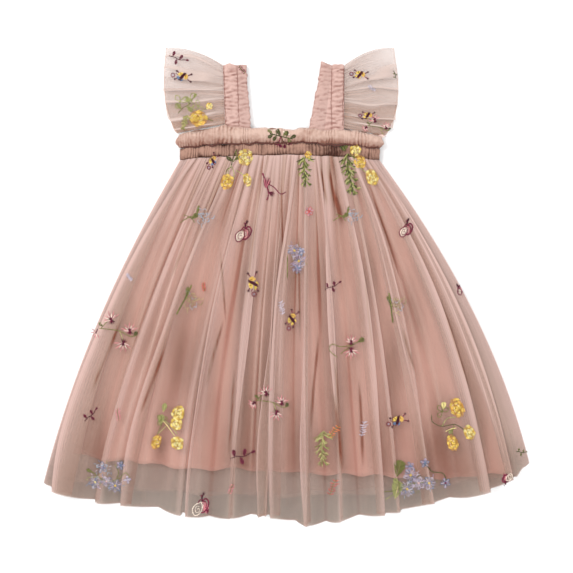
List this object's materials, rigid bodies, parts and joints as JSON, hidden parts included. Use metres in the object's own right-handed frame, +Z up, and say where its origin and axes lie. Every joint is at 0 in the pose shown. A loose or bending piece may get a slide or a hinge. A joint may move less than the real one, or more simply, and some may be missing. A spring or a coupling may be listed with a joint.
{
  "type": "toddler party dress",
  "caption": "Toddler's party dress laid flat: gathered translucent net skirt over a lining, elastic waist casing, puffed bodice band, ruched straps and flutter sleeves.",
  "frame": {"origin": "middle of the box round the whole dress, on the surface it lies on", "axes": "+Y from the hem to the neck, +X to the right of the front as seen from above, +Z up from the surface through the back and then the front"},
  "size_m": [0.559, 0.5487, 0.0195],
  "materials": {
    "pink_net": "fine translucent net with a soft sheen",
    "pink_lining": "smooth opaque woven lining",
    "gathered_net": "net gathered over the lining on elastic"
  },
  "bodies": {
    "root": {"net_back": "pink_net", "inner_net_back": "pink_net", "lining_back": "pink_lining", "lining_front": "pink_lining", "inner_net_front": "pink_net", "net_front": "pink_net", "waist_casing_back": "gathered_net", "waist_casing_front": "gathered_net", "bodice_band_back": "gathered_net", "bodice_band_front": "gathered_net", "strap_left": "gathered_net", "strap_right": "gathered_net", "sleeve_left": "pink_net", "sleeve_right": "pink_net"}
  },
  "joints": []
}
